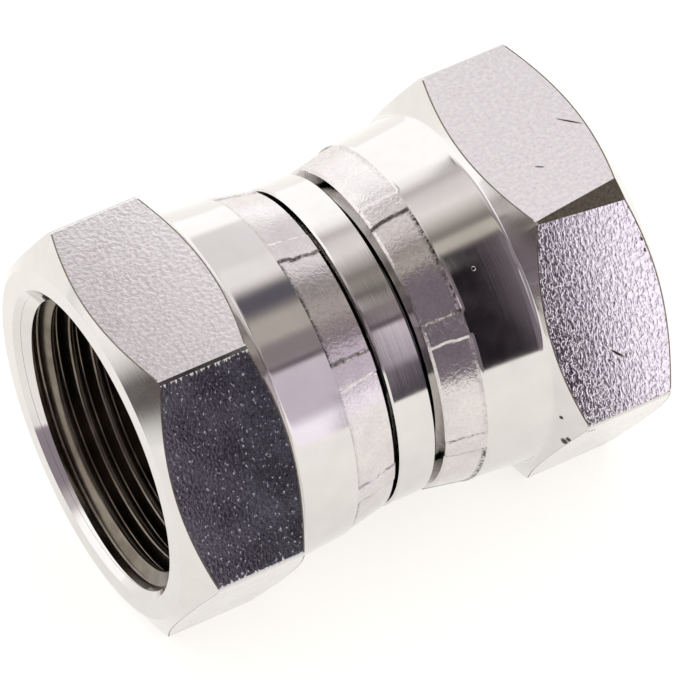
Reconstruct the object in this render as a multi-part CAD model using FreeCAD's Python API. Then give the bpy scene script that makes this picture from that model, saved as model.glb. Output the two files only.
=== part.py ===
"""Double swivel nut hydraulic nipple, modelled in millimetres.

The axis is X and the part lies on one flat of each nut, with +Z up. X = 0 is the middle between
the two outer faces. The nipple is one turned piece. A loose hexagon nut is crimped over each end
of it and can spin freely.
"""
import FreeCAD, Part
import math
import os

Vector = FreeCAD.Vector

# Swivel nut, outside
FLAT_RISE = 0.75  # by which the flats stand above the neck, for 41 mm across the flats
CORNER_BREAK = 0.12  # depth taken off each sharp corner of the hexagon
HEXAGON_LENGTH = 12.24  # from the face to the corners of the rear chamfer
HEXAGON_CHAMFER_ANGLE = 30.0  # slope of both end chamfers, measured from the face
FACE_RING_WIDTH = 2.3  # flat ring round the mouth, inside the front chamfer
SKIRT_WALL = 2.75  # wall of the neck where it leaves the hexagon
NECK_ROOT_BEVEL = 0.4  # in the corner between the neck and the rear chamfer
NECK_SLOPE_ANGLE = 5.0  # of the neck against the axis
CRIMP_SLOPE_ANGLE = 11.0  # of the crimped tail against the axis
TAIL_EDGE = 0.2

# Swivel nut, inside
THREAD_MINOR_RADIUS = 15.145  # crests of a pipe thread of 33.249 mm major diameter
THREAD_LENGTH = 9.85
THREAD_RELIEF = 1.855  # by which the skirt's bore is wider than the crests, all round
THREAD_END_ANGLE = 30.0  # slope of the step behind the thread, measured from the face
MOUTH_WIDTH = 2.155  # of the countersink at the mouth, all round
MOUTH_ANGLE = 45.0
CRIMP_DRAW = 1.1  # by which crimping draws the skirt's bore in, so that it holds the shoulder
TAIL_STRAIGHT = 3.6  # length of the drawn-in bore
TAIL_TAPER = 1.6  # length over which the skirt's bore draws in

# Crimp marks round the tail of each nut
CRIMP_MARK_COUNT = 8
CRIMP_MARK_ANGLE = 37.0
CRIMP_MARK_DEPTH = 0.22
CRIMP_LENGTH = 4.56  # of the marks and of the crimped part of the tail
CUTTER_OVERRUN = 1.0  # by which the cutter of a mark reaches past the tail
FIRST_LAND_ANGLE = 3.0  # from the top towards the front, middle of the first unpressed land

# Nipple
COLLAR_WIDTH = 4.34
COLLAR_STEP = 0.19  # by which the collar is smaller than the tails beside it, all round
COLLAR_EDGE = 0.2
SHOULDER_FLANK = 0.8
SHOULDER_LENGTH = 1.9
NOSE_STRAIGHT = 0.975
NOSE_CONE_LENGTH = 3.0
NOSE_CONE_ANGLE = 60.0  # full angle of the sealing cone
NOSE_TIP_WALL = 1.57
BORE_EDGE = 0.5

# Clearances between the nipple and the nuts
TAIL_CLEARANCE = 0.5
SHOULDER_CLEARANCE = 0.08
NOSE_CLEARANCE = 0.345  # between the nose and the thread's crests
NOSE_SETBACK = 0.5  # of the nose's tip from the end of the skirt's bore, on the left
NUT_PLAY = 1.3  # room for the drawn-in tail to slide between collar and shoulder
TAIL_GAP_LEFT = 0.45  # between the collar and the left nut's tail, as they lie
TAIL_GAP_RIGHT = 1.1

# Radii that follow
MOUTH_RADIUS = THREAD_MINOR_RADIUS + MOUTH_WIDTH
FACE_RING_RADIUS = MOUTH_RADIUS + FACE_RING_WIDTH
SKIRT_BORE_RADIUS = THREAD_MINOR_RADIUS + THREAD_RELIEF
NECK_RADIUS = SKIRT_BORE_RADIUS + SKIRT_WALL
ACROSS_FLATS = 2 * (NECK_RADIUS + FLAT_RISE)
CORNER_RADIUS = ACROSS_FLATS / math.sqrt(3)
TAIL_BORE_RADIUS = SKIRT_BORE_RADIUS - CRIMP_DRAW
GROOVE_RADIUS = TAIL_BORE_RADIUS - TAIL_CLEARANCE
SHOULDER_RADIUS = SKIRT_BORE_RADIUS - SHOULDER_CLEARANCE
NOSE_RADIUS = THREAD_MINOR_RADIUS - NOSE_CLEARANCE
NOSE_TIP_RADIUS = NOSE_RADIUS - NOSE_CONE_LENGTH * math.tan(math.radians(NOSE_CONE_ANGLE / 2))
NIPPLE_BORE_RADIUS = NOSE_TIP_RADIUS - NOSE_TIP_WALL - BORE_EDGE

# Lengths that follow: the nut is as long as its tail, the nose in its skirt, its thread and its mouth
GROOVE_LENGTH = TAIL_STRAIGHT + TAIL_TAPER + NUT_PLAY
NOSE_REACH = GROOVE_LENGTH + SHOULDER_FLANK + SHOULDER_LENGTH + NOSE_STRAIGHT + NOSE_CONE_LENGTH
SKIRT_LENGTH = NOSE_REACH - TAIL_GAP_LEFT + NOSE_SETBACK
THREAD_STEP = THREAD_RELIEF * math.tan(math.radians(THREAD_END_ANGLE))
MOUTH_DEPTH = MOUTH_WIDTH / math.tan(math.radians(MOUTH_ANGLE))
NUT_LENGTH = SKIRT_LENGTH + THREAD_STEP + THREAD_LENGTH + MOUTH_DEPTH
HALF_LENGTH = NUT_LENGTH + (COLLAR_WIDTH + TAIL_GAP_LEFT + TAIL_GAP_RIGHT) / 2
TAIL = HALF_LENGTH - NUT_LENGTH
COLLAR_MIDDLE = (TAIL_GAP_LEFT - TAIL_GAP_RIGHT) / 2
CHAMFER_SLOPE = math.tan(math.radians(HEXAGON_CHAMFER_ANGLE))
NECK_ROOT = HALF_LENGTH - HEXAGON_LENGTH - (CORNER_RADIUS - NECK_RADIUS) * CHAMFER_SLOPE
CRIMP_END = TAIL + CRIMP_LENGTH
NECK_END_RADIUS = NECK_RADIUS - (NECK_ROOT - CRIMP_END) * math.tan(math.radians(NECK_SLOPE_ANGLE))
CRIMP_SLOPE = math.tan(math.radians(CRIMP_SLOPE_ANGLE))


def axial(x, radius):
    """Point of a half section: x along the axis, radius away from it."""
    return Vector(x, 0, radius)


def half_section(points):
    """Face whose outline runs straight from point to point and back to the first."""
    return Part.Face(Part.makePolygon(points + points[:1]))


def turned(section, angle=360.0):
    """Solid swept by a half section round the X axis."""
    return section.revolve(Vector(0, 0, 0), Vector(1, 0, 0), angle)


def tail_radius(x):
    """Outer radius of the crimped tail, which draws in more steeply than the neck."""
    return NECK_END_RADIUS - (CRIMP_END - x) * CRIMP_SLOPE


COLLAR_RADIUS = tail_radius(TAIL) - COLLAR_STEP


def nut_outside():
    """Turned envelope of the nut: face ring, chamfers up to the hexagon's corners, neck and tail."""
    largest = CORNER_RADIUS - CORNER_BREAK
    return turned(half_section([
        axial(HALF_LENGTH, 0),
        axial(HALF_LENGTH, FACE_RING_RADIUS),
        axial(HALF_LENGTH - (largest - FACE_RING_RADIUS) * CHAMFER_SLOPE, largest),
        axial(NECK_ROOT + (largest - NECK_RADIUS) * CHAMFER_SLOPE, largest),
        axial(NECK_ROOT + NECK_ROOT_BEVEL * CHAMFER_SLOPE, NECK_RADIUS + NECK_ROOT_BEVEL),
        axial(NECK_ROOT - NECK_ROOT_BEVEL, NECK_RADIUS),
        axial(CRIMP_END, NECK_END_RADIUS),
        axial(TAIL + TAIL_EDGE, tail_radius(TAIL + TAIL_EDGE)),
        axial(TAIL, tail_radius(TAIL) - TAIL_EDGE),
        axial(TAIL, 0),
    ]))


def hexagon():
    """Hexagonal bar with flats above and below, as long as the nut and its neck."""
    corners = []
    for step in range(7):
        angle = math.radians(60 * step)
        corners.append(Vector(0, CORNER_RADIUS * math.cos(angle), CORNER_RADIUS * math.sin(angle)))
    return Part.Face(Part.makePolygon(corners)).extrude(Vector(HALF_LENGTH, 0, 0))


def nut_inside():
    """Everything that is bored out of the nut, from the mouth to the crimped tail."""
    skirt_end = TAIL + SKIRT_LENGTH
    thread_end = skirt_end + THREAD_STEP
    taper_end = TAIL + TAIL_STRAIGHT
    return turned(half_section([
        axial(HALF_LENGTH, 0),
        axial(HALF_LENGTH, MOUTH_RADIUS),
        axial(thread_end + THREAD_LENGTH, THREAD_MINOR_RADIUS),
        axial(thread_end, THREAD_MINOR_RADIUS),
        axial(skirt_end, SKIRT_BORE_RADIUS),
        axial(taper_end + TAIL_TAPER, SKIRT_BORE_RADIUS),
        axial(taper_end, TAIL_BORE_RADIUS),
        axial(TAIL, TAIL_BORE_RADIUS),
        axial(TAIL, 0),
    ]))


def crimp_marks():
    """Sectors pressed into the tail by the jaws, with narrow lands left between them."""
    start = TAIL - CUTTER_OVERRUN
    outside = NECK_RADIUS + CUTTER_OVERRUN
    sector = turned(half_section([
        axial(start, outside),
        axial(CRIMP_END, outside),
        axial(CRIMP_END, tail_radius(CRIMP_END) - CRIMP_MARK_DEPTH),
        axial(start, tail_radius(start) - CRIMP_MARK_DEPTH),
    ]), CRIMP_MARK_ANGLE)
    pitch = 360.0 / CRIMP_MARK_COUNT
    marks = []
    for index in range(CRIMP_MARK_COUNT):
        mark = sector.copy()
        first_edge = FIRST_LAND_ANGLE + (pitch - CRIMP_MARK_ANGLE) / 2 + index * pitch
        mark.rotate(Vector(0, 0, 0), Vector(1, 0, 0), first_edge)
        marks.append(mark)
    return marks


def swivel_nut():
    """Right-hand nut, with its face towards +X."""
    nut = nut_outside().common(hexagon())
    nut = nut.cut(nut_inside())
    return nut.cut(crimp_marks())


def nipple_side(side):
    """Outline of one end of the nipple, from the collar's edge to its bore; side is 1 or -1."""
    collar_face = COLLAR_WIDTH / 2
    groove_end = collar_face + GROOVE_LENGTH
    shoulder_start = groove_end + SHOULDER_FLANK
    shoulder_end = shoulder_start + SHOULDER_LENGTH
    cone_start = shoulder_end + NOSE_STRAIGHT
    tip = cone_start + NOSE_CONE_LENGTH
    outline = [
        (collar_face - COLLAR_EDGE, COLLAR_RADIUS),
        (collar_face, COLLAR_RADIUS - COLLAR_EDGE),
        (collar_face, GROOVE_RADIUS),
        (groove_end, GROOVE_RADIUS),
        (shoulder_start, SHOULDER_RADIUS),
        (shoulder_end, SHOULDER_RADIUS),
        (shoulder_end, NOSE_RADIUS),
        (cone_start, NOSE_RADIUS),
        (tip, NOSE_TIP_RADIUS),
        (tip, NIPPLE_BORE_RADIUS + BORE_EDGE),
        (tip - BORE_EDGE, NIPPLE_BORE_RADIUS),
    ]
    return [axial(COLLAR_MIDDLE + side * x, radius) for x, radius in outline]


def nipple():
    """Turned body with a collar in the middle and a coned nose at each end."""
    right = nipple_side(1)
    left = nipple_side(-1)
    return turned(half_section(right + left[::-1]))


def save(shape, name):
    """Write a shape to its own file, once it is sure to be one valid solid."""
    if len(shape.Solids) != 1 or not shape.Solids[0].isValid():
        raise ValueError(name + " is not one valid solid")
    shape.Solids[0].exportStep(os.path.join("parts", name + ".step"))


os.makedirs("parts", exist_ok=True)
right_nut = swivel_nut()
left_nut = right_nut.mirror(Vector(0, 0, 0), Vector(1, 0, 0))
save(nipple(), "nipple")
save(left_nut, "swivel_nut_left")
save(right_nut, "swivel_nut_right")
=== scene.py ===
import math

import bmesh
import bpy
from mathutils import Matrix, Vector, noise


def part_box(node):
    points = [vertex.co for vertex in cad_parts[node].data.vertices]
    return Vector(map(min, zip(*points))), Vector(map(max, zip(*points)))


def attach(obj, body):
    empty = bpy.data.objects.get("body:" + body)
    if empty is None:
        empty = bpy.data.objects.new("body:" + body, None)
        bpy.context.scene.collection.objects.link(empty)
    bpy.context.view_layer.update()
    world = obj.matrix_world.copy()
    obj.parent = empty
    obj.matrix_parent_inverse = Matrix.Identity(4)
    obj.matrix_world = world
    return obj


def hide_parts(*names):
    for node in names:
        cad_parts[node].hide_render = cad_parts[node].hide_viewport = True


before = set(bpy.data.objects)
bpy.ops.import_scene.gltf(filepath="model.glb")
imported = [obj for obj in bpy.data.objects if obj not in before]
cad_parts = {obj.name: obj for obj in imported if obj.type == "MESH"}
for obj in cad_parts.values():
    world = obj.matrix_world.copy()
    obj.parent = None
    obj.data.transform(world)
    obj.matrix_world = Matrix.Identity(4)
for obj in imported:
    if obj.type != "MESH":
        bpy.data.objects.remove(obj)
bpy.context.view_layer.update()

# Nipple: the one turned piece in the middle, machined all over from stainless bar.
# Its collar shows between the two nuts. Its shoulders and coned noses lie hidden inside them.

MM = 0.001
nipple_low, nipple_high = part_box("nipple")
NIPPLE_MIDDLE = (nipple_low[0] + nipple_high[0]) / 2 / MM
NIPPLE_REACH = (nipple_high[0] - nipple_low[0]) / 2 / MM
COLLAR_RADIUS = nipple_high[2] / MM
COLLAR_HALF_WIDTH = 2.17
COLLAR_EDGE = 0.2
GROOVE_RADIUS = 15.4
GROOVE_END = 8.67
SHOULDER_RADIUS = 16.92
SHOULDER_FLANK = 0.8
SHOULDER_LENGTH = 1.9
SHOULDER_START = GROOVE_END + SHOULDER_FLANK
SHOULDER_END = SHOULDER_START + SHOULDER_LENGTH
NOSE_RADIUS = 14.8
NOSE_CONE_LENGTH = 3.0
NOSE_TIP_RADIUS = 13.07
NIPPLE_BORE_RADIUS = 11.0
BORE_EDGE = 0.5
NIPPLE_STEPS = 240
MERGE_DISTANCE = 1e-4
SHARP_ANGLE = 0.4
FLAT_CORNERS = 8


def spun_shell(outline, steps):
    """Spin a closed outline of (x, radius) round the X axis: an eighth of a turn, and then copies of it."""
    shell = bmesh.new()
    points = [shell.verts.new((x, 0, radius)) for x, radius in outline]
    for here, there in zip(points, points[1:] + points[:1]):
        shell.edges.new((here, there))
    bmesh.ops.spin(shell, geom=shell.verts[:] + shell.edges[:], cent=(0, 0, 0), axis=(1, 0, 0),
                   angle=math.tau / 8, steps=steps // 8, use_merge=False, use_duplicate=False)
    for turn in (math.tau / 8, math.tau / 4, math.tau / 2):
        copy = bmesh.ops.duplicate(shell, geom=shell.verts[:] + shell.edges[:] + shell.faces[:])
        moved = [item for item in copy["geom"] if isinstance(item, bmesh.types.BMVert)]
        bmesh.ops.rotate(shell, cent=(0, 0, 0), matrix=Matrix.Rotation(turn, 3, "X"), verts=moved)
    bmesh.ops.remove_doubles(shell, verts=shell.verts[:], dist=MERGE_DISTANCE)
    bmesh.ops.recalc_face_normals(shell, faces=shell.faces[:])
    return shell


def finished_piece(name, shell, materials):
    """Bring a millimetre bmesh to metres, keep its hard edges and cut flats, and make it an object."""
    for edge in shell.edges:
        edge.smooth = len(edge.link_faces) == 2 and edge.calc_face_angle(0) < SHARP_ANGLE
    for face in shell.faces:
        face.smooth = len(face.verts) < FLAT_CORNERS
    bmesh.ops.scale(shell, vec=(MM, MM, MM), verts=shell.verts[:])
    mesh = bpy.data.meshes.new(name)
    shell.to_mesh(mesh)
    shell.free()
    for material in materials:
        mesh.materials.append(material)
    piece = bpy.data.objects.new(name, mesh)
    bpy.context.collection.objects.link(piece)
    return piece


def nipple_outline():
    """Half section of the nipple: over its right end into the bore, and back out over its left end."""
    half = [
        (COLLAR_HALF_WIDTH - COLLAR_EDGE, COLLAR_RADIUS),
        (COLLAR_HALF_WIDTH, COLLAR_RADIUS - COLLAR_EDGE),
        (COLLAR_HALF_WIDTH, GROOVE_RADIUS),
        (GROOVE_END, GROOVE_RADIUS),
        (SHOULDER_START, SHOULDER_RADIUS),
        (SHOULDER_END, SHOULDER_RADIUS),
        (SHOULDER_END, NOSE_RADIUS),
        (NIPPLE_REACH - NOSE_CONE_LENGTH, NOSE_RADIUS),
        (NIPPLE_REACH, NOSE_TIP_RADIUS),
        (NIPPLE_REACH, NIPPLE_BORE_RADIUS + BORE_EDGE),
        (NIPPLE_REACH - BORE_EDGE, NIPPLE_BORE_RADIUS),
    ]
    right = [(NIPPLE_MIDDLE + x, radius) for x, radius in half]
    left = [(NIPPLE_MIDDLE - x, radius) for x, radius in half]
    return right + left[::-1]


def linear(colour):
    """Turn an sRGB hex colour into the linear values that a shader reads."""
    channels = [int(colour[i:i + 2], 16) / 255 for i in (1, 3, 5)]
    return [c / 12.92 if c <= 0.04045 else ((c + 0.055) / 1.055)**2.4 for c in channels] + [1.0]


def add_node(tree, kind, settings, links=()):
    """Add one node: settings go to its own fields or input sockets, links come from other nodes' outputs."""
    node = tree.nodes.new(kind)
    for name, value in settings.items():
        if isinstance(name, str) and hasattr(node, name):
            setattr(node, name, value)
        else:
            node.inputs[name].default_value = value
    for target, source in links:
        tree.links.new(source, node.inputs[target])
    return node


def new_steel(name):
    """Start a metal's material: give back the material, its node tree and its shader."""
    material = bpy.data.materials.new(name)
    material.use_nodes = True
    shader = material.node_tree.nodes["Principled BSDF"]
    shader.inputs["Metallic"].default_value = 1.0
    return material, material.node_tree, shader


TURNED_COLOUR = "#dad8d6"
TURNED_SHADE = "#cfccca"
TURNED_CLOUD_MM = 3.0
TURNED_ROUGHNESS_LOW = 0.08
TURNED_ROUGHNESS_HIGH = 0.12
# A lathe leaves lines about 0.05 mm apart. They are too fine to show, so they are drawn thrice as coarse.
TOOL_LINE_MM = 0.16
TOOL_LINE_LENGTH_MM = 25.0
TOOL_LINE_DEPTH = 0.02
DENT_COLOUR = "#3a342f"
DENT_DEPTH = 0.2
# Nearly all of a noise lies between these two levels.
NOISE_LOW = 0.3
NOISE_HIGH = 0.7


def turned_stainless_steel(name, line_strength, dents=()):
    """Turned stainless steel: bright, with fine tool lines round the axis that smear reflections, and a few
    dark dents from handling, each given by its x, its angle round the axis, its radius out and its size."""
    material, tree, shader = new_steel(name)
    place = add_node(tree, "ShaderNodeTexCoord", {})
    along = 1 / (TOOL_LINE_LENGTH_MM * MM)
    across = add_node(tree, "ShaderNodeMapping", {"Scale": (1 / (TOOL_LINE_MM * MM), along, along)},
                      [("Vector", place.outputs["Object"])])
    lines = add_node(tree, "ShaderNodeTexNoise", {"Scale": 1.0, "Detail": 2.0, "Roughness": 0.6},
                     [("Vector", across.outputs[0])])
    clouds = add_node(tree, "ShaderNodeTexNoise", {"Scale": 1 / (TURNED_CLOUD_MM * MM), "Detail": 3.0},
                      [("Vector", place.outputs["Object"])])
    tint = add_node(tree, "ShaderNodeMix",
                    {"data_type": "RGBA", 6: linear(TURNED_COLOUR), 7: linear(TURNED_SHADE)},
                    [(0, clouds.outputs[0])])
    rough = add_node(tree, "ShaderNodeMapRange",
                     {"From Min": NOISE_LOW, "From Max": NOISE_HIGH, "To Min": TURNED_ROUGHNESS_LOW,
                      "To Max": TURNED_ROUGHNESS_HIGH}, [("Value", clouds.outputs[0])])
    bump = add_node(tree, "ShaderNodeBump", {"Strength": line_strength, "Distance": TOOL_LINE_DEPTH * MM},
                    [("Height", lines.outputs[0])])
    colour = tint.outputs[2]
    normal = bump.outputs[0]
    for x, degrees, out, size in dents:
        angle = math.radians(degrees)
        centre = (x * MM, -math.sin(angle) * out * MM, math.cos(angle) * out * MM)
        away = add_node(tree, "ShaderNodeVectorMath", {"operation": "DISTANCE", 1: centre},
                        [(0, place.outputs["Object"])])
        dent = add_node(tree, "ShaderNodeMapRange",
                        {"interpolation_type": "SMOOTHSTEP", "From Min": size * MM,
                         "From Max": size * MM / 2}, [("Value", away.outputs["Value"])])
        mixed = add_node(tree, "ShaderNodeMix", {"data_type": "RGBA", 7: linear(DENT_COLOUR)},
                         [(0, dent.outputs[0]), (6, colour)])
        hollow = add_node(tree, "ShaderNodeBump",
                          {"Strength": 1.0, "Distance": DENT_DEPTH * MM, "invert": True},
                          [("Height", dent.outputs[0]), ("Normal", normal)])
        colour = mixed.outputs[2]
        normal = hollow.outputs[0]
    tree.links.new(colour, shader.inputs["Base Color"])
    tree.links.new(rough.outputs[0], shader.inputs["Roughness"])
    tree.links.new(normal, shader.inputs["Normal"])
    return material


nipple = finished_piece("nipple_body", spun_shell(nipple_outline(), NIPPLE_STEPS),
                        [turned_stainless_steel("turned_stainless_steel", 0.14)])
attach(nipple, "nipple")
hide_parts("nipple")

# Swivel nuts: forged hexagon bar, turned to a neck and a countersunk mouth and threaded inside.
# The hexagon's flats keep their peened forge skin, and the neck's tail is pressed in all round
# by the jaws that crimp it over the nipple, which leaves eight marks with narrow lands between.

nut_low, nut_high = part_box("swivel_nut_right")
FACE = nut_high[0] / MM
TAIL = nut_low[0] / MM
FLAT_DISTANCE = nut_high[2] / MM
FLAT_HALF_WIDTH = FLAT_DISTANCE * math.tan(math.pi / 6)
HEXAGON_LENGTH = 12.24
CORNER_BREAK = 0.12
CORNER_RADIUS = FLAT_DISTANCE / math.cos(math.pi / 6)
ENVELOPE_RADIUS = CORNER_RADIUS - CORNER_BREAK
FACE_RING_RADIUS = 19.6
MOUTH_RADIUS = 17.3
CHAMFER_SLOPE = math.tan(math.radians(30))
NECK_RADIUS = 19.75
NECK_ROOT = FACE - HEXAGON_LENGTH - (CORNER_RADIUS - NECK_RADIUS) * CHAMFER_SLOPE
NECK_FLARE = 0.35
ROOT_FILLET = 0.8
ROOT_FILLET_SHARE = 0.49
ROOT_FILLET_START = NECK_ROOT - ROOT_FILLET_SHARE * ROOT_FILLET
ROOT_FILLET_STEPS = 8
ROOT_FILLET_LOW_ANGLE = math.radians(7)
ROOT_FILLET_HIGH_ANGLE = math.radians(60)
CRIMP_LENGTH_LEFT = 5.05
CRIMP_LENGTH_RIGHT = 4.36
CRIMP_SLOPE = math.tan(math.radians(11))
NECK_END_RADIUS = 19.11
TAIL_BORE_RADIUS = 15.9
TAIL_BORE_END = TAIL + 3.6
TAIL_EDGE = 0.25
TAIL_OUTSIDE_RADIUS = TAIL_BORE_RADIUS + 1
SKIRT_BORE_RADIUS = 17.0
SKIRT_START = TAIL + 5.2
SKIRT_END = TAIL + 13.225
THREAD_MAJOR_RADIUS = 16.6245
THREAD_MINOR_RADIUS = 15.145
THREAD_WALL_RADIUS = THREAD_MAJOR_RADIUS + 0.04
THREAD_WALL_STEP = 0.2
NUT_STEPS = 720
ROW_SPACING = 0.45
CRIMP_ROW_SPACING = 0.4
FLARE_ROWS_START = 0.3
CRIMP_ROWS_ABOVE = 0.1
CRIMP_ROWS_BELOW = 0.05


def rows(start, end, spacing):
    """Evenly spaced places from start to end, both included."""
    count = max(1, round(abs(end - start) / spacing))
    return [start + (end - start) * i / count for i in range(count + 1)]


def neck_radius(x, crimp_end):
    """Outer radius of the neck: a straight cone where it is crimped, and then a flare to the hexagon."""
    if x <= crimp_end:
        return NECK_END_RADIUS - (crimp_end - x) * CRIMP_SLOPE
    reach = (x - crimp_end) / (NECK_ROOT - crimp_end)
    rise = (1 - NECK_FLARE) * reach + NECK_FLARE * reach**2
    return NECK_END_RADIUS + (NECK_RADIUS - NECK_END_RADIUS) * rise


def nut_outline(crimp_end):
    """Half section of the nut before its hexagon is cut, from the mouth over the outside and back inside."""
    front_corner = FACE - (ENVELOPE_RADIUS - FACE_RING_RADIUS) * CHAMFER_SLOPE
    rear_corner = NECK_ROOT + (ENVELOPE_RADIUS - NECK_RADIUS) * CHAMFER_SLOPE
    outline = [(FACE, MOUTH_RADIUS), (FACE, FACE_RING_RADIUS)]
    outline += [(x, ENVELOPE_RADIUS) for x in rows(front_corner, rear_corner, ROW_SPACING)]
    centre_x = ROOT_FILLET_START - ROOT_FILLET * math.sin(ROOT_FILLET_LOW_ANGLE)
    centre_radius = neck_radius(ROOT_FILLET_START, crimp_end) + ROOT_FILLET * math.cos(ROOT_FILLET_LOW_ANGLE)
    for step in range(ROOT_FILLET_STEPS, -1, -1):
        turn = (ROOT_FILLET_HIGH_ANGLE - ROOT_FILLET_LOW_ANGLE) * step / ROOT_FILLET_STEPS
        angle = ROOT_FILLET_LOW_ANGLE + turn
        outline.append((centre_x + ROOT_FILLET * math.sin(angle),
                        centre_radius - ROOT_FILLET * math.cos(angle)))
    flare = rows(ROOT_FILLET_START - FLARE_ROWS_START, crimp_end + CRIMP_ROWS_ABOVE, ROW_SPACING)
    crimp = rows(crimp_end - CRIMP_ROWS_BELOW, TAIL + TAIL_EDGE, CRIMP_ROW_SPACING)
    outline += [(x, neck_radius(x, crimp_end)) for x in flare + crimp]
    outline += [
        (TAIL, neck_radius(TAIL, crimp_end) - TAIL_EDGE),
        (TAIL, TAIL_BORE_RADIUS),
        (TAIL_BORE_END, TAIL_BORE_RADIUS),
        (SKIRT_START, SKIRT_BORE_RADIUS),
        (SKIRT_END, SKIRT_BORE_RADIUS),
        (SKIRT_END + THREAD_WALL_STEP, THREAD_WALL_RADIUS),
        (FACE - (MOUTH_RADIUS - THREAD_WALL_RADIUS), THREAD_WALL_RADIUS),
    ]
    return outline


# Places in the nut's list of finishes.
TURNED, FORGED, SHADED_FORGED, PEENED, THREADED, CRIMPED, SCALED = range(7)
RIM_WIDTH = 0.16
RIM_DROP = 0.012
RIM_END = 0.5
SQUARE_ON = 0.999


def flat_normal(index):
    """Outward direction of one of the six flats, the first of which faces up."""
    angle = math.radians(60 * index)
    return Vector((0, -math.sin(angle), math.cos(angle)))


def cut_flats(shell):
    """Cut the six flats off the round envelope and drop the rim of each a little, as forging leaves it."""
    for index in range(6):
        normal = flat_normal(index)
        cut = bmesh.ops.bisect_plane(shell, geom=shell.verts[:] + shell.edges[:] + shell.faces[:],
                                     dist=MERGE_DISTANCE, plane_co=normal * FLAT_DISTANCE, plane_no=normal,
                                     clear_outer=True)
        edge = [item for item in cut["geom_cut"] if isinstance(item, bmesh.types.BMEdge)]
        bmesh.ops.contextual_create(shell, geom=edge)
    shell.normal_update()
    for index in range(6):
        normal = flat_normal(index)
        flat = [face for face in shell.faces
                if len(face.verts) > FLAT_CORNERS and face.normal.dot(normal) > SQUARE_ON]
        rim = bmesh.ops.inset_region(shell, faces=flat, thickness=RIM_WIDTH, use_even_offset=True)["faces"]
        inside = {vert for face in flat for vert in face.verts}
        across = Vector((1, 0, 0)).cross(normal)
        for vert in {vert for face in rim for vert in face.verts} - inside:
            vert.co -= normal * RIM_DROP
        for face in rim:
            if abs(face.calc_center_median().dot(across)) < FLAT_HALF_WIDTH - RIM_END:
                face.material_index = SCALED


SHORT_CORNER_WIDTH = 2.5
SHORT_CORNER_START = 17.2


def cut_short_corner(shell):
    """Slant one corner of the hexagon, where the forging was short of metal, from nothing to full width."""
    bisector = Vector((0, -math.sin(math.pi / 6), math.cos(math.pi / 6)))
    depth = SHORT_CORNER_WIDTH / 2 / math.tan(math.pi / 3)
    slant = Vector((depth, 0, 0)) + bisector * (FACE - SHORT_CORNER_START)
    cut = bmesh.ops.bisect_plane(shell, geom=shell.verts[:] + shell.edges[:] + shell.faces[:],
                                 dist=MERGE_DISTANCE, plane_no=slant.normalized(), clear_outer=True,
                                 plane_co=Vector((SHORT_CORNER_START, 0, 0)) + bisector * ENVELOPE_RADIUS)
    edge = [item for item in cut["geom_cut"] if isinstance(item, bmesh.types.BMEdge)]
    for face in bmesh.ops.contextual_create(shell, geom=edge)["faces"]:
        face.material_index = SCALED


CRIMP_MARKS = 8
CRIMP_MARK_DEPTH = 0.18
CRIMP_MARK_SPREAD = 0.2
CRIMP_MARGIN = 0.2
FIRST_LAND = 3.0
LAND_HALF_ANGLE = 4.0
LAND_EDGE = 0.3
LAND_WANDER = 0.7
LAND_WAVES_ALONG = 1.1
LAND_WAVES_ROUND = 0.5
MM_PER_DEGREE = 0.33
# The skin is painted darker along the walls of the marks: partly grime, partly painted shade in the creases.
GRIME_AND_SHADE_WIDTH = 0.25
GRIME_AND_SHADE_SETBACK = 0.1
GRIME_AND_SHADE_MEAN = 0.6
GRIME_AND_SHADE_SPREAD = 0.4
TEAR_LEAST = 0.35
TEAR_START = 2
TEAR_REACH = 7
# How a swing goes from jaw to jaw, and from one nut to the other.
GRIME_AND_SHADE_SWING = (3.1, 2)
TEAR_SWING = (5.3, 1.3)
DEPTH_SWING = (2.4, 1)


def swing(jaw, side, steps):
    """A number from -1 to 1 that sets each jaw of each nut a little apart from the others."""
    return math.sin(steps[0] * jaw + steps[1] * side)


def press_crimp_marks(shell, side, crimp_end):
    """Press the tail in between the lands, each jaw to its own depth, and note its torn skin and its grime
    and painted shade along the walls of the marks.
    """
    pitch = 360 / CRIMP_MARKS
    grime_and_shade = shell.verts.layers.float.new("grime_and_shade")
    tears = shell.verts.layers.float.new("tears")
    for vert in shell.verts:
        x, y, z = vert.co
        radius = math.hypot(y, z)
        if x >= crimp_end + CRIMP_MARGIN or radius <= TAIL_OUTSIDE_RADIUS:
            continue
        turn, within = divmod(math.degrees(math.atan2(-y, z)) - side * FIRST_LAND, pitch)
        jaw = turn % CRIMP_MARKS
        ragged = noise.noise(Vector((LAND_WAVES_ALONG * x, LAND_WAVES_ROUND * y, LAND_WAVES_ROUND * z)))
        from_land = min(within, pitch - within) + LAND_WANDER * ragged
        from_wall = abs(from_land - LAND_HALF_ANGLE) * MM_PER_DEGREE
        if from_land > LAND_HALF_ANGLE:
            from_wall = min(from_wall, abs(crimp_end - x) - GRIME_AND_SHADE_SETBACK)
        caught = min(1, max(0, 1 - from_wall / GRIME_AND_SHADE_WIDTH))
        vert[grime_and_shade] = caught * (GRIME_AND_SHADE_MEAN + GRIME_AND_SHADE_SPREAD * swing(turn, side, GRIME_AND_SHADE_SWING))
        torn = (1 + swing(jaw, side, TEAR_SWING)) / 2
        near_land = max(0, 1 - max(0, from_land - TEAR_START) / TEAR_REACH)
        vert[tears] = TEAR_LEAST + (1 - TEAR_LEAST) * torn * near_land
        if x > crimp_end:
            continue
        wall = min(1, max(0, (from_land - LAND_HALF_ANGLE + LAND_EDGE) / (2 * LAND_EDGE)))
        depth = CRIMP_MARK_DEPTH * (1 + CRIMP_MARK_SPREAD * swing(jaw, side, DEPTH_SWING))
        scale = 1 - wall * depth / radius
        vert.co.y *= scale
        vert.co.z *= scale


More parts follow.
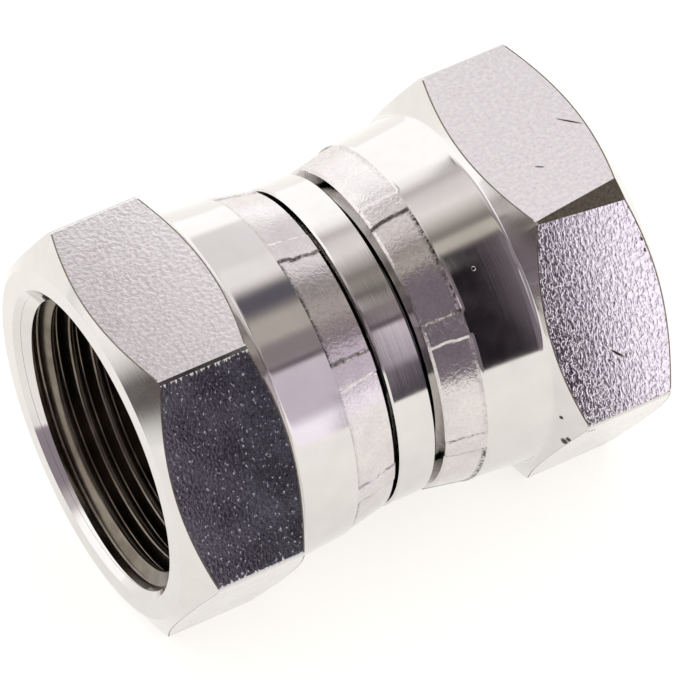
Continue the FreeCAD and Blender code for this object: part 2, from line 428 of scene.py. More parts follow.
THREAD_PITCH = 2.309
THREAD_TURNS = 7
THREAD_START = 15.931
THREAD_STEPS = 240
THREAD_RUN_OUT = 1.071
THREAD_ROUNDING = 0.317
ROUNDING_STEPS = 4
FLANK_ANGLE = 62.5
COUNTERSINK_CLEARANCE = 0.03


def thread_ridge_section():
    """One ridge of the thread between two groove bottoms, rounded top and bottom: (x, radius) points."""
    angles = [math.radians(FLANK_ANGLE * step / ROUNDING_STEPS) for step in range(ROUNDING_STEPS + 1)]
    bottom = [(-THREAD_PITCH / 2 + THREAD_ROUNDING * math.sin(angle),
               THREAD_MAJOR_RADIUS - THREAD_ROUNDING * (1 - math.cos(angle))) for angle in angles]
    crest = [(-THREAD_ROUNDING * math.sin(angle),
              THREAD_MINOR_RADIUS + THREAD_ROUNDING * (1 - math.cos(angle))) for angle in angles[::-1]]
    flank = bottom + crest
    return flank + [(-x, radius) for x, radius in flank[-2::-1]]


def thread_ridge(shell):
    """Add the thread's helical ridge, turn by turn, cut back by the countersink and by its run-out behind."""
    ridge = bmesh.new()
    points = [ridge.verts.new((THREAD_START + x, 0, radius)) for x, radius in thread_ridge_section()]
    for here, there in zip(points, points[1:]):
        ridge.edges.new((here, there))
    bmesh.ops.spin(ridge, geom=ridge.verts[:] + ridge.edges[:], cent=(0, 0, 0), axis=(1, 0, 0),
                   dvec=(THREAD_PITCH / THREAD_STEPS, 0, 0), angle=math.tau, steps=THREAD_STEPS,
                   use_merge=False, use_duplicate=False)
    one_turn = ridge.verts[:] + ridge.edges[:] + ridge.faces[:]
    for turn in range(1, THREAD_TURNS):
        copy = bmesh.ops.duplicate(ridge, geom=one_turn)
        moved = [item for item in copy["geom"] if isinstance(item, bmesh.types.BMVert)]
        bmesh.ops.translate(ridge, vec=(turn * THREAD_PITCH, 0, 0), verts=moved)
    bmesh.ops.remove_doubles(ridge, verts=ridge.verts[:], dist=MERGE_DISTANCE)
    fall = (SKIRT_BORE_RADIUS - THREAD_MINOR_RADIUS) / THREAD_RUN_OUT
    for vert in ridge.verts:
        x, y, z = vert.co
        radius = math.hypot(y, z)
        mouth = MOUTH_RADIUS - (FACE - x) + COUNTERSINK_CLEARANCE
        step = SKIRT_BORE_RADIUS - (x - SKIRT_END) * fall
        cut_back = min(MOUTH_RADIUS, max(radius, mouth, step)) / radius
        vert.co = (min(max(x, SKIRT_END), FACE), y * cut_back, z * cut_back)
    bmesh.ops.recalc_face_normals(ridge, faces=ridge.faces[:])
    inward = sum(face.normal.dot(Vector((0, face.calc_center_median().y, face.calc_center_median().z)))
                 for face in ridge.faces)
    if inward > 0:
        bmesh.ops.reverse_faces(ridge, faces=ridge.faces[:])
    for face in ridge.faces:
        x, y, z = face.calc_center_median()
        on_cone = abs(math.hypot(y, z) - MOUTH_RADIUS + FACE - x) < 2 * COUNTERSINK_CLEARANCE
        face.material_index = TURNED if on_cone else THREADED
    mesh = bpy.data.meshes.new("thread_ridge")
    ridge.to_mesh(mesh)
    ridge.free()
    shell.from_mesh(mesh)
    bpy.data.meshes.remove(mesh)


def marked(tree, place, marks):
    """Give one inside each mark of a list and zero outside: a mark has a start, an end and a width."""
    covered = None
    for start, end, width in marks:
        reach = Vector(end) - Vector(start)
        middle = (Vector(start) + Vector(end)) / 2
        moved = add_node(tree, "ShaderNodeVectorMath", {"operation": "SUBTRACT", 1: (middle.x, middle.y, 0)},
                         [(0, place)])
        turned = add_node(tree, "ShaderNodeVectorRotate",
                          {"rotation_type": "Z_AXIS", "Angle": -math.atan2(reach.y, reach.x)},
                          [("Vector", moved.outputs[0])])
        scaled = add_node(tree, "ShaderNodeVectorMath",
                          {"operation": "MULTIPLY", 1: (1 / (reach.length / 2 + width), 1 / width, 0)},
                          [(0, turned.outputs[0])])
        away = add_node(tree, "ShaderNodeVectorMath", {"operation": "LENGTH"}, [(0, scaled.outputs[0])])
        mark = add_node(tree, "ShaderNodeMapRange",
                        {"interpolation_type": "SMOOTHSTEP", "From Min": 1.0, "From Max": 0.5},
                        [("Value", away.outputs["Value"])])
        if covered is None:
            covered = mark.outputs[0]
        else:
            both = add_node(tree, "ShaderNodeMath", {"operation": "MAXIMUM"},
                            [(0, covered), (1, mark.outputs[0])])
            covered = both.outputs[0]
    return covered


# Painted highlight: worn corners are drawn as a pale matt band in place of steel, standing in for the light
# their rounding catches.
EDGE_HIGHLIGHT_COLOUR = "#b9b5b3"
EDGE_HIGHLIGHT_BLUR = 0.05
PIT_DARKENING = 0.12
WEAR_ALONG_MM = 0.4
WEAR_ACROSS_MM = 4.0
SKIN_CLOUD_MM = 4.0
SKIN_ROUGHNESS_SPREAD = 0.03
SCRATCH_DEPTH = 0.12


def forged_stainless_steel(name, colours, peen, pits, worn, crown, roughness, marks):
    """Forge skin on the flats: a fine grain that breaks up reflections and sets the flats off from the turned
    parts. In millimetres: peen and pits are each a size along and across the flat, a depth, and the levels of
    the noise between which they rise. Worn is the drop of a corner, the least and the most width of its wear
    and how strongly a painted highlight, a pale matt band in place of the steel, covers that wear. Crown is
    the middle, the half length and the sag of the flat. Marks are scratches."""
    material, tree, shader = new_steel(name)
    place = add_node(tree, "ShaderNodeUVMap", {"uv_map": "flat_mm"})
    normal = None
    heights = []
    for along, across, depth, low, high in (peen, pits):
        stretched = add_node(tree, "ShaderNodeMapping", {"Scale": (1 / along, 1 / across, 1)},
                             [("Vector", place.outputs[0])])
        grain = add_node(tree, "ShaderNodeTexNoise", {"Scale": 1.0, "Detail": 2.0, "Roughness": 0.55},
                         [("Vector", stretched.outputs[0])])
        height = add_node(tree, "ShaderNodeMapRange",
                          {"interpolation_type": "SMOOTHSTEP", "From Min": low, "From Max": high},
                          [("Value", grain.outputs[0])])
        heights.append(height.outputs[0])
        links = [("Height", height.outputs[0])] + ([("Normal", normal)] if normal else [])
        bump = add_node(tree, "ShaderNodeBump", {"Strength": 1.0, "Distance": depth * MM}, links)
        normal = bump.outputs[0]

    middle, half, sag = crown
    object_place = add_node(tree, "ShaderNodeTexCoord", {})
    axis = add_node(tree, "ShaderNodeSeparateXYZ", {}, [(0, object_place.outputs["Object"])])
    off = add_node(tree, "ShaderNodeMath",
                   {"operation": "MULTIPLY_ADD", 1: 1 / (half * MM), 2: -middle / half},
                   [(0, axis.outputs[0])])
    square = add_node(tree, "ShaderNodeMath", {"operation": "MULTIPLY"},
                      [(0, off.outputs[0]), (1, off.outputs[0])])
    crowned = add_node(tree, "ShaderNodeBump", {"Strength": 1.0, "Distance": sag * MM, "invert": True},
                       [("Height", square.outputs[0]), ("Normal", normal)])

    drop, least, most, matt = worn
    split = add_node(tree, "ShaderNodeSeparateXYZ", {}, [(0, place.outputs[0])])
    aside = add_node(tree, "ShaderNodeMath", {"operation": "ABSOLUTE"}, [(0, split.outputs[1])])
    inside = add_node(tree, "ShaderNodeMath", {"operation": "SUBTRACT", 0: FLAT_HALF_WIDTH},
                      [(1, aside.outputs[0])])
    stripes = add_node(tree, "ShaderNodeMapping", {"Scale": (1 / WEAR_ALONG_MM, 1 / WEAR_ACROSS_MM, 1)},
                       [("Vector", place.outputs[0])])
    ragged = add_node(tree, "ShaderNodeTexNoise", {"Scale": 1.0, "Detail": 2.0},
                      [("Vector", stripes.outputs[0])])
    width = add_node(tree, "ShaderNodeMapRange",
                     {"From Min": 0.35, "From Max": 0.65, "To Min": least, "To Max": most},
                     [("Value", ragged.outputs[0])])
    overhang = add_node(tree, "ShaderNodeMath", {"operation": "SUBTRACT"},
                        [(0, width.outputs[0]), (1, inside.outputs[0])])
    fall = add_node(tree, "ShaderNodeMath", {"operation": "DIVIDE", "use_clamp": True},
                    [(0, inside.outputs[0]), (1, width.outputs[0])])
    rounded = add_node(tree, "ShaderNodeBump", {"Strength": 1.0, "Distance": drop * MM},
                       [("Height", fall.outputs[0]), ("Normal", crowned.outputs[0])])
    scratched = marked(tree, place.outputs[0], marks)
    gouged = add_node(tree, "ShaderNodeBump",
                      {"Strength": 1.0, "Distance": SCRATCH_DEPTH * MM, "invert": True},
                      [("Height", scratched), ("Normal", rounded.outputs[0])])

    grained = add_node(tree, "ShaderNodeMix",
                       {"data_type": "RGBA", 6: linear(colours[1]), 7: linear(colours[0])}, [(0, heights[0])])
    # The pits' grain is darkened a little, towards the dents' colour.
    pit_darkening = add_node(tree, "ShaderNodeMapRange", {"To Min": PIT_DARKENING, "To Max": 0.0},
                      [("Value", heights[1])])
    skin = add_node(tree, "ShaderNodeMix", {"data_type": "RGBA", 7: linear(DENT_COLOUR)},
                    [(0, pit_darkening.outputs[0]), (6, grained.outputs[2])])
    tint = add_node(tree, "ShaderNodeMix", {"data_type": "RGBA", 7: linear(DENT_COLOUR)},
                    [(0, scratched), (6, skin.outputs[2])])
    # Painted highlight along the worn corner: the steel gives way to the pale matt colour there.
    edge_highlight = add_node(tree, "ShaderNodeMapRange",
                      {"From Min": -EDGE_HIGHLIGHT_BLUR, "From Max": EDGE_HIGHLIGHT_BLUR, "To Max": matt},
                      [("Value", overhang.outputs[0])])
    colour = add_node(tree, "ShaderNodeMix", {"data_type": "RGBA", 7: linear(EDGE_HIGHLIGHT_COLOUR)},
                      [(0, edge_highlight.outputs[0]), (6, tint.outputs[2])])
    shine = add_node(tree, "ShaderNodeMath", {"operation": "SUBTRACT", 0: 1.0}, [(1, edge_highlight.outputs[0])])
    clouds = add_node(tree, "ShaderNodeTexNoise", {"Scale": 1 / SKIN_CLOUD_MM, "Detail": 2.0},
                      [("Vector", place.outputs[0])])
    rough = add_node(tree, "ShaderNodeMapRange",
                     {"From Min": NOISE_LOW, "From Max": NOISE_HIGH,
                      "To Min": roughness - SKIN_ROUGHNESS_SPREAD,
                      "To Max": roughness + SKIN_ROUGHNESS_SPREAD}, [("Value", clouds.outputs[0])])
    tree.links.new(shine.outputs[0], shader.inputs["Metallic"])
    tree.links.new(colour.outputs[2], shader.inputs["Base Color"])
    tree.links.new(rough.outputs[0], shader.inputs["Roughness"])
    tree.links.new(gouged.outputs[0], shader.inputs["Normal"])
    return material


SCALE_COLOUR = "#9a9486"
SCALE_SHADE = "#4e4a42"
SCALE_GRAIN_MM = 0.35
SCALE_DEPTH = 0.05


def dark_forge_scale():
    """Forge scale left where a corner of the bar was short of metal: rough, dull and mottled olive brown."""
    material, tree, shader = new_steel("dark_forge_scale")
    place = add_node(tree, "ShaderNodeTexCoord", {})
    grain = add_node(tree, "ShaderNodeTexNoise", {"Scale": 1 / (SCALE_GRAIN_MM * MM), "Detail": 2.0},
                     [("Vector", place.outputs["Object"])])
    tint = add_node(tree, "ShaderNodeMix",
                    {"data_type": "RGBA", 6: linear(SCALE_SHADE), 7: linear(SCALE_COLOUR)},
                    [(0, grain.outputs[0])])
    bump = add_node(tree, "ShaderNodeBump", {"Strength": 1.0, "Distance": SCALE_DEPTH * MM},
                    [("Height", grain.outputs[0])])
    shader.inputs["Roughness"].default_value = 0.35
    tree.links.new(tint.outputs[2], shader.inputs["Base Color"])
    tree.links.new(bump.outputs[0], shader.inputs["Normal"])
    return material


CRIMPED_COLOUR = "#e2dfdc"
CRIMPED_SHADE = "#cac4c5"
CRIMPED_SPECK = "#a39c9f"
GRIME_AND_SHADE_COLOUR = "#37322d"
SMEAR_MM = 2.2
SMEAR_DEPTH = 0.03
RIPPLE_MM = 0.5
RIPPLE_DEPTH = 0.08
SPECK_MM = 0.3
SPECK_COVER = 0.25


def crimped_stainless_steel():
    """Pressed skin of the tail: smeared and rippled by the jaws, with grime and painted shade along the edges
    of the marks.
    """
    material, tree, shader = new_steel("crimped_stainless_steel")
    place = add_node(tree, "ShaderNodeTexCoord", {})
    grime_and_shade = add_node(tree, "ShaderNodeAttribute", {"attribute_name": "grime_and_shade"})
    tears = add_node(tree, "ShaderNodeAttribute", {"attribute_name": "tears"})
    ripple = add_node(tree, "ShaderNodeTexNoise",
                      {"Scale": 1 / (RIPPLE_MM * MM), "Detail": 3.0, "Roughness": 0.55, "Distortion": 1.0},
                      [("Vector", place.outputs["Object"])])
    smear = add_node(tree, "ShaderNodeTexNoise", {"Scale": 1 / (SMEAR_MM * MM), "Detail": 2.0},
                     [("Vector", place.outputs["Object"])])
    specks = add_node(tree, "ShaderNodeTexNoise", {"Scale": 1 / (SPECK_MM * MM), "Detail": 2.0},
                      [("Vector", place.outputs["Object"])])
    skin = add_node(tree, "ShaderNodeMix",
                    {"data_type": "RGBA", 6: linear(CRIMPED_COLOUR), 7: linear(CRIMPED_SHADE)},
                    [(0, smear.outputs[0])])
    speckled = add_node(tree, "ShaderNodeMapRange",
                        {"From Min": NOISE_LOW, "From Max": NOISE_HIGH, "To Min": 0.0, "To Max": SPECK_COVER},
                        [("Value", specks.outputs[0])])
    rubbed = add_node(tree, "ShaderNodeMix", {"data_type": "RGBA", 7: linear(CRIMPED_SPECK)},
                      [(0, speckled.outputs[0]), (6, skin.outputs[2])])
    broken = add_node(tree, "ShaderNodeMapRange", {"From Min": 0.35, "From Max": 0.6},
                      [("Value", ripple.outputs[0])])
    # Grime and painted shade: the walls of the marks are darkened, broken up by the ripple.
    grime_and_shade_cover = add_node(tree, "ShaderNodeMath", {"operation": "MULTIPLY"},
                     [(0, grime_and_shade.outputs["Fac"]), (1, broken.outputs[0])])
    tint = add_node(tree, "ShaderNodeMix", {"data_type": "RGBA", 7: linear(GRIME_AND_SHADE_COLOUR)},
                    [(0, grime_and_shade_cover.outputs[0]), (6, rubbed.outputs[2])])
    height = add_node(tree, "ShaderNodeMath", {"operation": "MULTIPLY"},
                      [(0, ripple.outputs[0]), (1, tears.outputs["Fac"])])
    soft = add_node(tree, "ShaderNodeBump", {"Strength": 0.5, "Distance": SMEAR_DEPTH * MM},
                    [("Height", smear.outputs[0])])
    bump = add_node(tree, "ShaderNodeBump", {"Strength": 1.0, "Distance": RIPPLE_DEPTH * MM},
                    [("Height", height.outputs[0]), ("Normal", soft.outputs[0])])
    shader.inputs["Roughness"].default_value = 0.17
    tree.links.new(tint.outputs[2], shader.inputs["Base Color"])
    tree.links.new(bump.outputs[0], shader.inputs["Normal"])
    return material


# Both thread colours are darkened as painted shade of the deep bore.
THREAD_COLOUR = "#8f867b"
THREAD_SHADE = "#544b43"
SHADE_AND_OIL_CLOUD_MM = 2.0


def threaded_stainless_steel():
    """Cut thread under a thin film of oil: still a mirror, but painted darker and browner than the turned
    parts, the darkness as painted shade of the deep bore and the brown as the oil.
    """
    material, tree, shader = new_steel("threaded_stainless_steel")
    place = add_node(tree, "ShaderNodeTexCoord", {})
    clouds = add_node(tree, "ShaderNodeTexNoise", {"Scale": 1 / (SHADE_AND_OIL_CLOUD_MM * MM), "Detail": 3.0},
                      [("Vector", place.outputs["Object"])])
    tint = add_node(tree, "ShaderNodeMix",
                    {"data_type": "RGBA", 6: linear(THREAD_SHADE), 7: linear(THREAD_COLOUR)},
                    [(0, clouds.outputs[0])])
    shader.inputs["Roughness"].default_value = 0.2
    tree.links.new(tint.outputs[2], shader.inputs["Base Color"])
    return material


# Dents on the turned parts. The marks on the flats are placed on the flats' map, as map_flats draws it.
SIDE_DENTS = [(10.3, 33.5, 19.4, 0.27), (15.3, 90.5, 20.7, 0.3), (14.2, 126.5, 19.7, 0.35),
              (15.65, 100.8, 21.32, 0.55), (15.85, 98.9, 21.66, 0.4)]
TOP_MARKS = [((26.2, 0.2), (28.4, 2.3), 0.13), ((20.9, 5.0), (21.7, 5.5), 0.11),
             ((157.5, -10.0), (158.4, -9.1), 0.4)]
FRONT_MARKS = [((91.4, 4.4), (92.8, 5.9), 0.16), ((97.9, -7.6), (97.9, -7.3), 0.16),
               ((97.9, -5.8), (98.0, -5.5), 0.16), ((98.0, -4.5), (98.0, -4.2), 0.16),
               ((52.0, -0.1), (52.3, 0.2), 0.14)]
# The forged finishes also differ in colour as painted light and shade: the left nut's front flats are painted
# darker and bluer, the right nut's front flats lighter than the top flats.
NUT_FINISHES = [
    turned_stainless_steel("turned_nut_steel", 0.06, SIDE_DENTS),
    forged_stainless_steel("fine_forged_steel", colours=("#e0dddd", "#d3ced0"),
                           peen=(0.5, 0.5, 0.008, 0.25, 0.75), pits=(0.3, 0.3, 0.010, 0.33, 0.39),
                           worn=(0.03, 0.2, 0.35, 0), crown=(0, 6, 0), roughness=0.17, marks=TOP_MARKS),
    forged_stainless_steel("shaded_forged_steel", colours=("#d6d8e0", "#a9abb6"),
                           peen=(0.3, 0.45, 0.006, 0.25, 0.75), pits=(0.35, 0.6, 0.012, 0.27, 0.36),
                           worn=(0, -0.1, 0.7, 1), crown=(-23, 6, 0), roughness=0.13, marks=FRONT_MARKS),
    forged_stainless_steel("peened_forged_steel", colours=("#eeeaee", "#dcd7dd"),
                           peen=(0.34, 0.6, 0.012, 0.25, 0.75), pits=(0.45, 0.75, 0.018, 0.38, 0.50),
                           worn=(0.6, 0.05, 0.5, 0.6), crown=(23, 6, 0.13), roughness=0.12,
                           marks=FRONT_MARKS),
    threaded_stainless_steel(),
    crimped_stainless_steel(),
    dark_forge_scale(),
]
FLAT_MAP_SPACING = 70
FLAT_TOLERANCE = 0.1
FACING = 0.95


def map_flats(shell, side):
    """Give each flat its own finish and a map in millimetres: x along the axis, further on by the spacing for
    each flat from the top one forwards, and y across the flat."""
    layer = shell.loops.layers.uv.new("flat_mm")
    for face in shell.faces:
        if face.material_index == SCALED:
            continue
        centre = face.calc_center_median()
        for index in range(6):
            normal = flat_normal(index)
            if centre.dot(normal) < FLAT_DISTANCE - FLAT_TOLERANCE or face.normal.dot(normal) < FACING:
                continue
            if index % 2 == 0:
                face.material_index = FORGED
            else:
                face.material_index = PEENED if side > 0 else SHADED_FORGED
            across = Vector((1, 0, 0)).cross(normal)
            for loop in face.loops:
                loop[layer].uv = (loop.vert.co.x + FLAT_MAP_SPACING * index, loop.vert.co.dot(across))


THREAD_WALL_TOLERANCE = 0.01
CRIMP_TOLERANCE = 0.05


def swivel_nut(name, side):
    """Make one nut facing +X, and turn it half round the Z axis if it is the left one."""
    crimp_end = TAIL + (CRIMP_LENGTH_RIGHT if side > 0 else CRIMP_LENGTH_LEFT)
    shell = spun_shell(nut_outline(crimp_end), NUT_STEPS)
    cut_flats(shell)
    if side > 0:
        cut_short_corner(shell)
    press_crimp_marks(shell, side, crimp_end)
    for face in shell.faces:
        x, y, z = face.calc_center_median()
        radius = math.hypot(y, z)
        if x > SKIRT_END and radius < THREAD_WALL_RADIUS + THREAD_WALL_TOLERANCE:
            face.material_index = THREADED
        elif x < crimp_end + CRIMP_TOLERANCE and radius > TAIL_OUTSIDE_RADIUS:
            face.material_index = CRIMPED
    thread_ridge(shell)
    if side < 0:
        bmesh.ops.rotate(shell, cent=(0, 0, 0), matrix=Matrix.Rotation(math.pi, 3, "Z"), verts=shell.verts[:])
    map_flats(shell, side)
    return finished_piece(name, shell, NUT_FINISHES)


for end, side in (("left", -1), ("right", 1)):
    nut = swivel_nut("nut_" + end, side)
    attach(nut, "nut_" + end)
    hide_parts("swivel_nut_" + end)

# Studio table: a pale matt sheet that glows a little, as a lit table does, so that its edge doesn't show.
# The nuts lie on it with one flat each.

TABLE_COLOUR = "#a8a6a2"
TABLE_GLOW_COLOUR = "#fbfaf7"
TABLE_GLOW = 0.72
TABLE_ROUGHNESS = 0.7
TABLE_SIZE = 3.0


def studio_sheet(name, sheet, material):
    """Make one sheet of the studio an object."""
    mesh = bpy.data.meshes.new(name)
    sheet.to_mesh(mesh)
    sheet.free()
    mesh.materials.append(material)
    piece = bpy.data.objects.new(name, mesh)
    bpy.context.collection.objects.link(piece)
    return piece


def matt_table():
    """Pale matt table top, lit from below: nearly white, with a weak shadow under the nuts."""
    material = bpy.data.materials.new("matt_table")
    material.use_nodes = True
    shader = material.node_tree.nodes["Principled BSDF"]
    shader.inputs["Base Color"].default_value = linear(TABLE_COLOUR)
    shader.inputs["Roughness"].default_value = TABLE_ROUGHNESS
    shader.inputs["Emission Color"].default_value = linear(TABLE_GLOW_COLOUR)
    shader.inputs["Emission Strength"].default_value = TABLE_GLOW
    return material


def studio_table():
    """Lay the table under the nuts' lowest flats."""
    sheet = bmesh.new()
    bmesh.ops.create_grid(sheet, x_segments=1, y_segments=1, size=TABLE_SIZE / 2)
    bmesh.ops.translate(sheet, vec=(0, 0, nut_low[2]), verts=sheet.verts[:])
    return studio_sheet("table", sheet, matt_table())


studio_table()

# Light tent: half a tube of cloth over the object, from behind it to the table in front, with cards hung
# inside. The polished steel mirrors both, and the camera and matt surfaces don't see them.

TENT_RADIUS = 0.30
TENT_HALF_LENGTH = 3.0
TENT_BACK_ANGLE = -95
TENT_FRONT_ANGLE = 91
TENT_STEPS = 90
TENT_STRENGTH = 1.5
# Colours of the cloth, by the angle in degrees from straight up towards the front.
CLOTH = [(-95, "#fdfcfd"), (-44, "#ffffff"), (-37, "#efecec"), (-30, "#b2adae"), (-24, "#cfc9c9"),
         (-12, "#ded9d8"), (-6, "#c6c0bc"), (3, "#807a76"), (11, "#74716c"), (19, "#5c5854"), (26, "#847b7b"),
         (37, "#8a7f85"), (38.5, "#5a4f58"), (40.5, "#5a4f58"), (42.5, "#c8bec6"), (56, "#b9aeb8"),
         (76, "#898089"), (91, "#4a444c")]
# Each card's left and right ends and their blur in millimetres, its ends round the tent and their blur in
# degrees, and its colour. A later card hangs in front of an earlier one.
FAR = 4000
CARDS = [
    (20, 68, 12, -40, -32, 6, "#9a9597"),
    (-FAR, 90, 8, 7, 15, 4, "#b4aea6"),
    (-110, 90, 8, 17, 96, 5, "#6f666e"),
    (57, 90, 12, 17, 96, 5, "#0e0a0e"),
    (79, 91, 5, 19, 27, 5, "#e0dcdb"),
    (-FAR, -250, 160, -20, 110, 50, "#857b83"),
    (108, FAR, 12, -38, -16, 12, "#e4e1e2"),
    (108, FAR, 12, -14, 0, 14, "#8d8788"),
    (108, 190, 16, -12, 3, 9, "#55525b"),
    (108, FAR, 12, 6, 24, 8, "#a8a19c"),
    (108, FAR, 12, 24, 36, 8, "#80767a"),
    (112, FAR, 10, 45, 78, 9, "#beb4c0"),
    (123, FAR, 8, 76, 96, 9, "#f2eaf4"),
    (99, 122, 8, 68, 96, 8, "#241f26"),
    (110, FAR, 8, -70, -33, 6, "#d8d5d6"),
]


def soft_band(tree, place, start, end, blur):
    """Give one between two places and nothing outside them, with edges that fade over the blur."""
    edges = []
    for low, high in ((start - blur / 2, start + blur / 2), (end + blur / 2, end - blur / 2)):
        edge = add_node(tree, "ShaderNodeMapRange",
                        {"interpolation_type": "SMOOTHSTEP", "From Min": low, "From Max": high},
                        [("Value", place)])
        edges.append(edge.outputs[0])
    band = add_node(tree, "ShaderNodeMath", {"operation": "MULTIPLY"}, [(0, edges[0]), (1, edges[1])])
    return band.outputs[0]


def tent_cloth():
    """Lit cloth with its cards: the steel's bright, dark and lilac bands are their mirror images."""
    material = bpy.data.materials.new("light_tent")
    material.use_nodes = True
    tree = material.node_tree
    tree.nodes.clear()
    place = add_node(tree, "ShaderNodeTexCoord", {})
    split = add_node(tree, "ShaderNodeSeparateXYZ", {}, [(0, place.outputs["Object"])])
    front = add_node(tree, "ShaderNodeMath", {"operation": "MULTIPLY", 1: -1.0}, [(0, split.outputs[1])])
    angle = add_node(tree, "ShaderNodeMath", {"operation": "ARCTAN2"},
                     [(0, front.outputs[0]), (1, split.outputs[2])])
    along = add_node(tree, "ShaderNodeMapRange",
                     {"From Min": math.radians(TENT_BACK_ANGLE), "From Max": math.radians(TENT_FRONT_ANGLE)},
                     [("Value", angle.outputs[0])])
    ramp = add_node(tree, "ShaderNodeValToRGB", {}, [(0, along.outputs[0])])
    stops = ramp.color_ramp.elements
    for degrees, colour in CLOTH:
        reach = (degrees - TENT_BACK_ANGLE) / (TENT_FRONT_ANGLE - TENT_BACK_ANGLE)
        stop = stops.new(reach) if 0 < reach < 1 else stops[-round(reach)]
        stop.color = linear(colour)
    cloth = ramp.outputs[0]
    for left, right_end, blur, top, bottom, turn_blur, colour in CARDS:
        across = soft_band(tree, split.outputs[0], left * MM, right_end * MM, blur * MM)
        down = soft_band(tree, angle.outputs[0], math.radians(top), math.radians(bottom),
                         math.radians(turn_blur))
        cover = add_node(tree, "ShaderNodeMath", {"operation": "MULTIPLY"}, [(0, across), (1, down)])
        hung = add_node(tree, "ShaderNodeMix", {"data_type": "RGBA", 7: linear(colour)},
                        [(0, cover.outputs[0]), (6, cloth)])
        cloth = hung.outputs[2]
    glow = add_node(tree, "ShaderNodeEmission", {"Strength": TENT_STRENGTH}, [("Color", cloth)])
    add_node(tree, "ShaderNodeOutputMaterial", {}, [("Surface", glow.outputs[0])])
    return material


def seen_in_mirrors_only(piece):
    """Hide a sheet from the camera and from matt surfaces, and let light through it."""
    piece.visible_camera = False
    piece.visible_diffuse = False
    piece.visible_shadow = False
    return piece


def light_tent():
    """Bend the cloth round the object's axis."""
    sheet = bmesh.new()
    angle = math.radians(TENT_BACK_ANGLE)
    ends = [sheet.verts.new((x, -TENT_RADIUS * math.sin(angle), TENT_RADIUS * math.cos(angle)))
            for x in (-TENT_HALF_LENGTH, TENT_HALF_LENGTH)]
    sheet.edges.new(ends)
    bmesh.ops.spin(sheet, geom=sheet.verts[:] + sheet.edges[:], cent=(0, 0, 0), axis=(1, 0, 0),
                   angle=math.radians(TENT_FRONT_ANGLE - TENT_BACK_ANGLE), steps=TENT_STEPS)
    return seen_in_mirrors_only(studio_sheet("light_tent", sheet, tent_cloth()))


light_tent()

# Dark card: it lies on the table to the left of the object and a little behind it.
# The chamfers that face that way mirror it, and the camera and matt surfaces don't see it.

DARK_CARD_LEFT = -700
DARK_CARD_RIGHT = -160
DARK_CARD_FRONT = -60
DARK_CARD_BACK = 170
DARK_CARD_BLUR = 100
DARK_CARD_LIFT = 1
DARK_CARD_COLOUR = "#605a58"
DARK_CARD_STRENGTH = 1.1


def soft_edged_card():
    """Card that fades into the table's colour at its edges, so that the steel shows no hard line."""
    material = bpy.data.materials.new("dark_card")
    material.use_nodes = True
    tree = material.node_tree
    tree.nodes.clear()
    place = add_node(tree, "ShaderNodeTexCoord", {})
    split = add_node(tree, "ShaderNodeSeparateXYZ", {}, [(0, place.outputs["Object"])])
    half = DARK_CARD_BLUR / 2
    across = soft_band(tree, split.outputs[0], (DARK_CARD_LEFT + half) * MM, (DARK_CARD_RIGHT - half) * MM,
                       DARK_CARD_BLUR * MM)
    deep = soft_band(tree, split.outputs[1], (DARK_CARD_FRONT + half) * MM, (DARK_CARD_BACK - half) * MM,
                     DARK_CARD_BLUR * MM)
    cover = add_node(tree, "ShaderNodeMath", {"operation": "MULTIPLY"}, [(0, across), (1, deep)])
    tint = add_node(tree, "ShaderNodeMix",
                    {"data_type": "RGBA", 6: linear(TABLE_GLOW_COLOUR), 7: linear(DARK_CARD_COLOUR)},
                    [(0, cover.outputs[0])])
    glow = add_node(tree, "ShaderNodeEmission", {"Strength": DARK_CARD_STRENGTH},
                    [("Color", tint.outputs[2])])
    add_node(tree, "ShaderNodeOutputMaterial", {}, [("Surface", glow.outputs[0])])
    return material


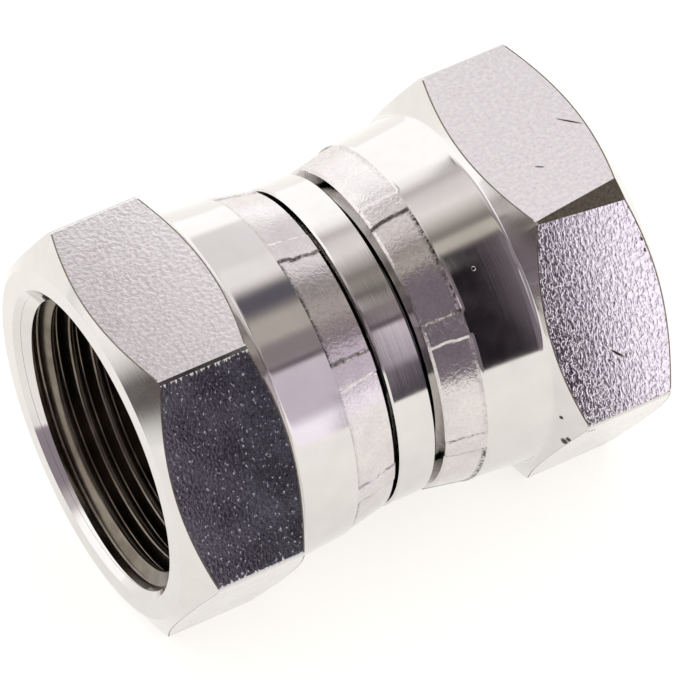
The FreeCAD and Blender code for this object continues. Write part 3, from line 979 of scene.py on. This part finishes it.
def dark_card():
    """Lay the card a little above the table."""
    sheet = bmesh.new()
    height = nut_low[2] + DARK_CARD_LIFT * MM
    corners = [sheet.verts.new((x * MM, y * MM, height)) for x, y in (
        (DARK_CARD_LEFT, DARK_CARD_FRONT), (DARK_CARD_RIGHT, DARK_CARD_FRONT),
        (DARK_CARD_RIGHT, DARK_CARD_BACK), (DARK_CARD_LEFT, DARK_CARD_BACK))]
    sheet.faces.new(corners)
    return seen_in_mirrors_only(studio_sheet("dark_card", sheet, soft_edged_card()))


dark_card()

# Surroundings and camera: an even, nearly white room, and a long lens at the height and the angle
# that the photograph was taken from.

ROOM_COLOUR = "#f6f4f2"
ROOM_STRENGTH = 1.35
CAMERA_AZIMUTH = math.radians(-29.55)
CAMERA_ELEVATION = math.radians(49.12)
CAMERA_DISTANCE = 0.65
CAMERA_PIXELS_PER_MM = 9.505
CAMERA_AIM_RIGHT = 0.49 * MM
CAMERA_AIM_UP = 0.02 * MM
CAMERA_REACH = 20
SENSOR_MM = 36.0
FRAME_PIXELS = 680

room = bpy.data.worlds.new("studio")
room.use_nodes = True
room.node_tree.nodes["Background"].inputs["Color"].default_value = linear(ROOM_COLOUR)
room.node_tree.nodes["Background"].inputs["Strength"].default_value = ROOM_STRENGTH
bpy.context.scene.world = room

back = Vector((math.sin(CAMERA_AZIMUTH) * math.cos(CAMERA_ELEVATION),
               -math.cos(CAMERA_AZIMUTH) * math.cos(CAMERA_ELEVATION), math.sin(CAMERA_ELEVATION)))
right = Vector((math.cos(CAMERA_AZIMUTH), math.sin(CAMERA_AZIMUTH), 0))
up = back.cross(right)
camera_data = bpy.data.cameras.new("camera")
camera_data.sensor_width = SENSOR_MM
camera_data.lens = CAMERA_PIXELS_PER_MM * CAMERA_DISTANCE / MM * SENSOR_MM / FRAME_PIXELS
camera_data.clip_end = CAMERA_REACH
camera = bpy.data.objects.new("camera", camera_data)
camera.location = back * CAMERA_DISTANCE + right * CAMERA_AIM_RIGHT + up * CAMERA_AIM_UP
camera.rotation_euler = back.to_track_quat("Z", "Y").to_euler()
bpy.context.collection.objects.link(camera)
bpy.context.scene.camera = camera
bpy.context.scene.view_settings.view_transform = "Standard"
